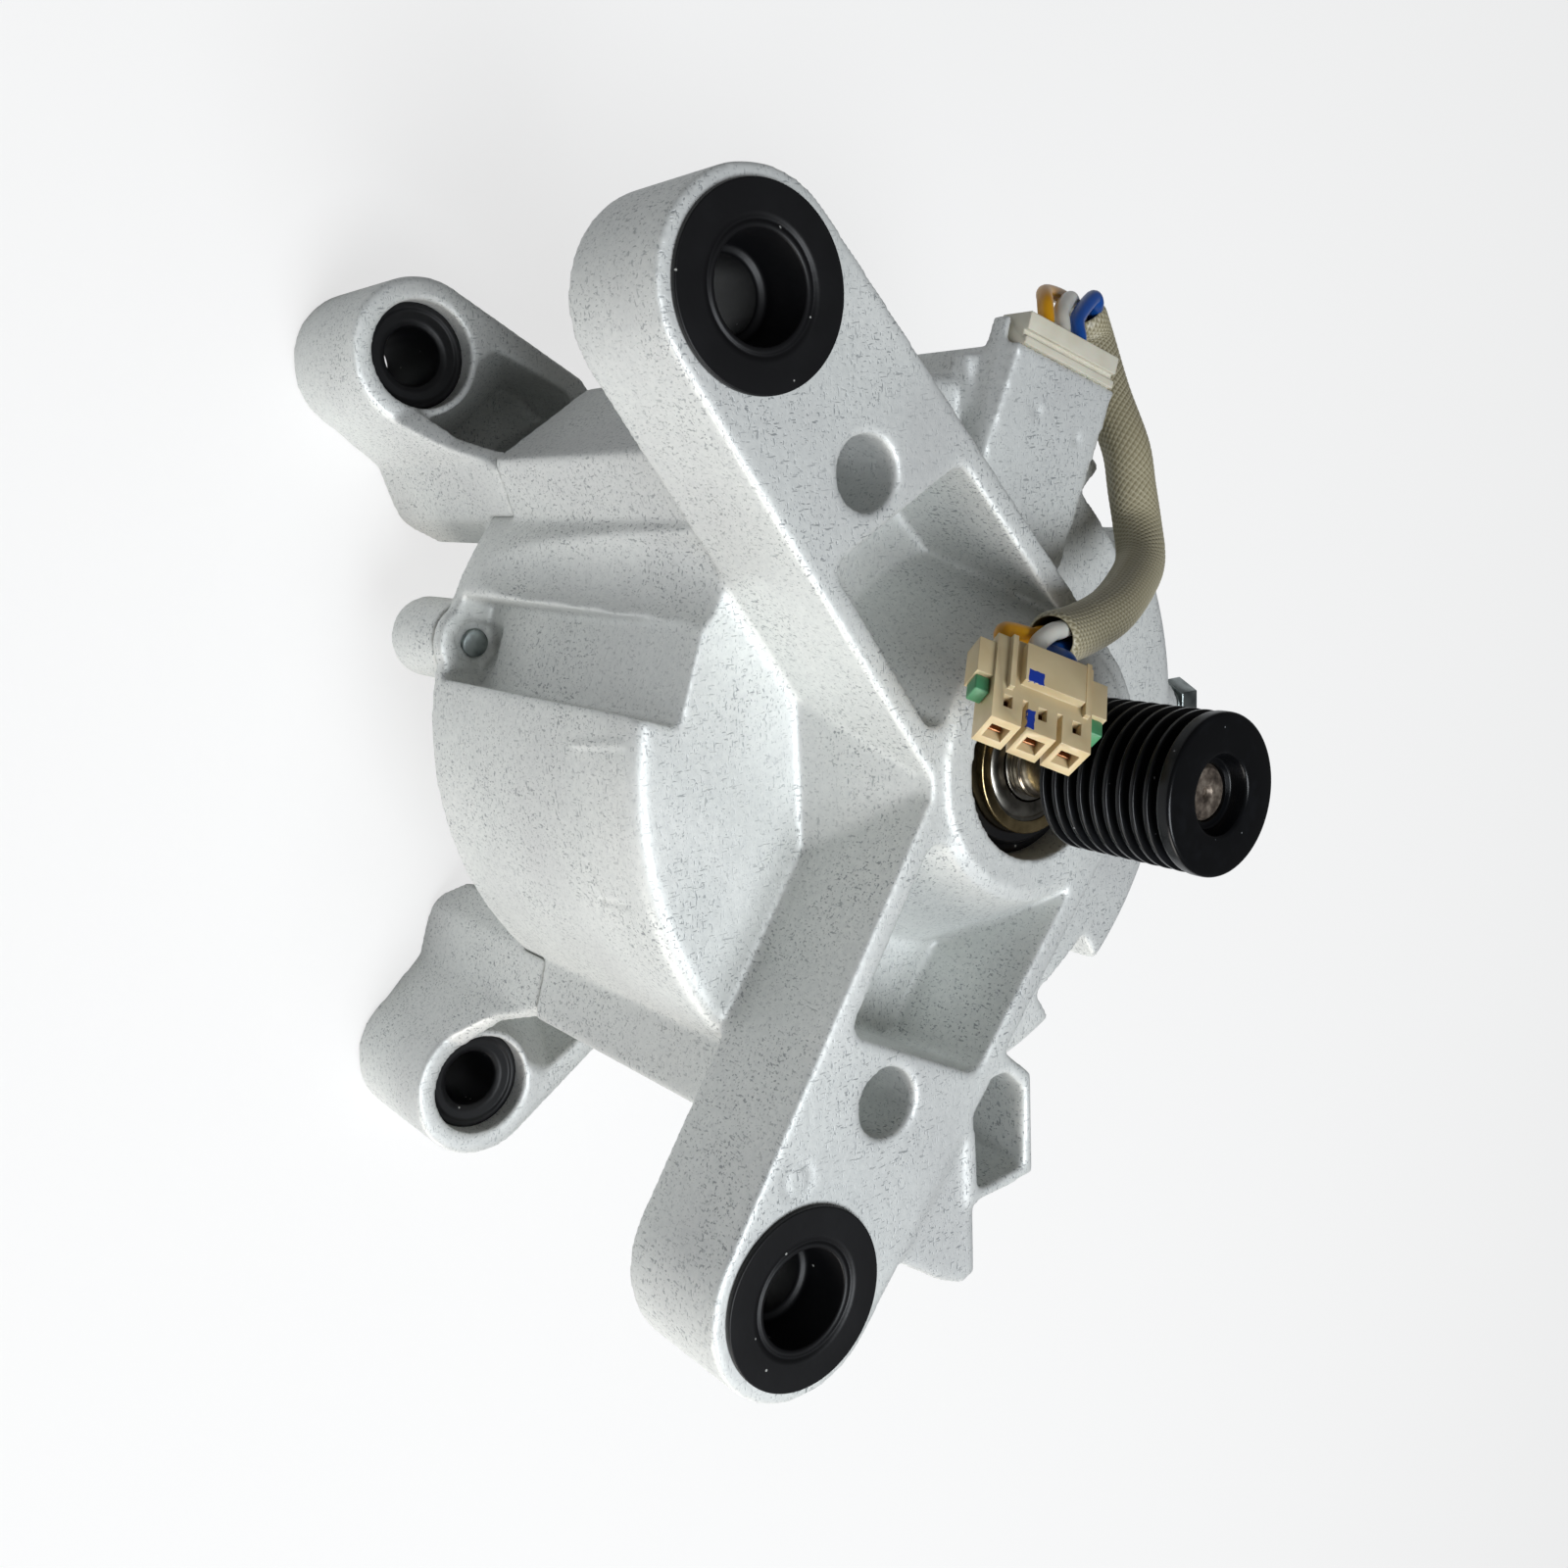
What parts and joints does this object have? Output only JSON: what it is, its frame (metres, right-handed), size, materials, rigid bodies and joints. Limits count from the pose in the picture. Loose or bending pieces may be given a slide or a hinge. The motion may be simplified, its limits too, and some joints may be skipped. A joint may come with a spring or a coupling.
{
  "type": "washing machine drive motor",
  "caption": "Belt-drive washing machine motor: die-cast cup with angled mounting arms, rubber bushings, ribbed belt pulley and a short sleeved connection lead.",
  "frame": {"origin": "on the motor's axis, in the plane of the rear lug ends and of the rear boss's face", "axes": "+Z along the motor's axis to the pulley, +Y to the side of the mounting lugs, +X across, from lug to lug"},
  "size_m": [0.1666, 0.1349, 0.1573],
  "materials": {
    "cast_aluminium": "satin die-cast",
    "black_rubber": "matte",
    "zinc_steel": "zinc plated",
    "lamination_steel": "stacked sheet",
    "winding_insulator": "moulded",
    "copper_winding": "enamelled copper wire",
    "shaft_steel": "turned",
    "magnet": "sintered ferrite",
    "rotor_ring": "moulded",
    "bearing_steel": "ground",
    "bearing_cage": "pressed",
    "pulley_black": "black oxide, oiled",
    "nylon": "moulded, natural",
    "connector_cream": "moulded",
    "connector_green": "moulded",
    "contact_copper": "stamped copper alloy",
    "wire_yellow": "extruded insulation",
    "wire_white": "extruded insulation",
    "wire_blue": "extruded insulation",
    "braid": "braided glass-fibre sleeve, varnished"
  },
  "bodies": {
    "housing": {"front_housing": "cast_aluminium", "rear_bracket": "cast_aluminium", "front_bushings": "black_rubber", "rear_bushings": "black_rubber", "housing_screws": "zinc_steel", "stator_core": "lamination_steel", "front_insulator": "winding_insulator", "rear_insulator": "winding_insulator", "coils_u": "copper_winding", "coils_v": "copper_winding", "coils_w": "copper_winding", "front_outer_ring": "bearing_steel", "front_shields": "bearing_steel", "rear_outer_ring": "bearing_steel", "rear_shields": "bearing_steel", "isolating_ring": "black_rubber", "wave_washer": "zinc_steel", "header_body": "nylon", "header_pins": "contact_copper", "yellow_wire": "wire_yellow", "white_wire": "wire_white", "blue_wire": "wire_blue", "braided_sleeve": "braid", "connector_housing": "connector_cream", "connector_locks": "connector_green", "connector_contacts": "contact_copper", "earth_screw": "zinc_steel", "earth_washer": "zinc_steel", "earth_terminal": "zinc_steel"},
    "rotor": {"rotor_core": "lamination_steel", "shaft": "shaft_steel", "magnets": "magnet", "rotor_front_ring": "rotor_ring", "rotor_rear_ring": "rotor_ring", "front_inner_ring": "bearing_steel", "rear_inner_ring": "bearing_steel", "retaining_ring": "zinc_steel", "shaft_spacer": "bearing_steel", "pulley": "pulley_black"},
    "front_ball_cage": {"front_cage": "bearing_cage", "front_balls": "bearing_steel"},
    "rear_ball_cage": {"rear_cage": "bearing_cage", "rear_balls": "bearing_steel"}
  },
  "joints": [
    {"name": "rotor_spin", "type": "hinge", "parent": "housing", "child": "rotor", "pos_m": [0, 0, 0.069], "axis": [0, 0, 1], "continuous": true},
    {"name": "front_cage_spin", "type": "hinge", "parent": "housing", "child": "front_ball_cage", "pos_m": [0, 0, 0.1202], "axis": [0, 0, 1], "continuous": true},
    {"name": "rear_cage_spin", "type": "hinge", "parent": "housing", "child": "rear_ball_cage", "pos_m": [0, 0, 0.0095], "axis": [0, 0, 1], "continuous": true}
  ],
  "couplings": [
    {"joint": "front_cage_spin", "follows": "rotor_spin", "ratio": 0.368},
    {"joint": "rear_cage_spin", "follows": "rotor_spin", "ratio": 0.368}
  ]
}
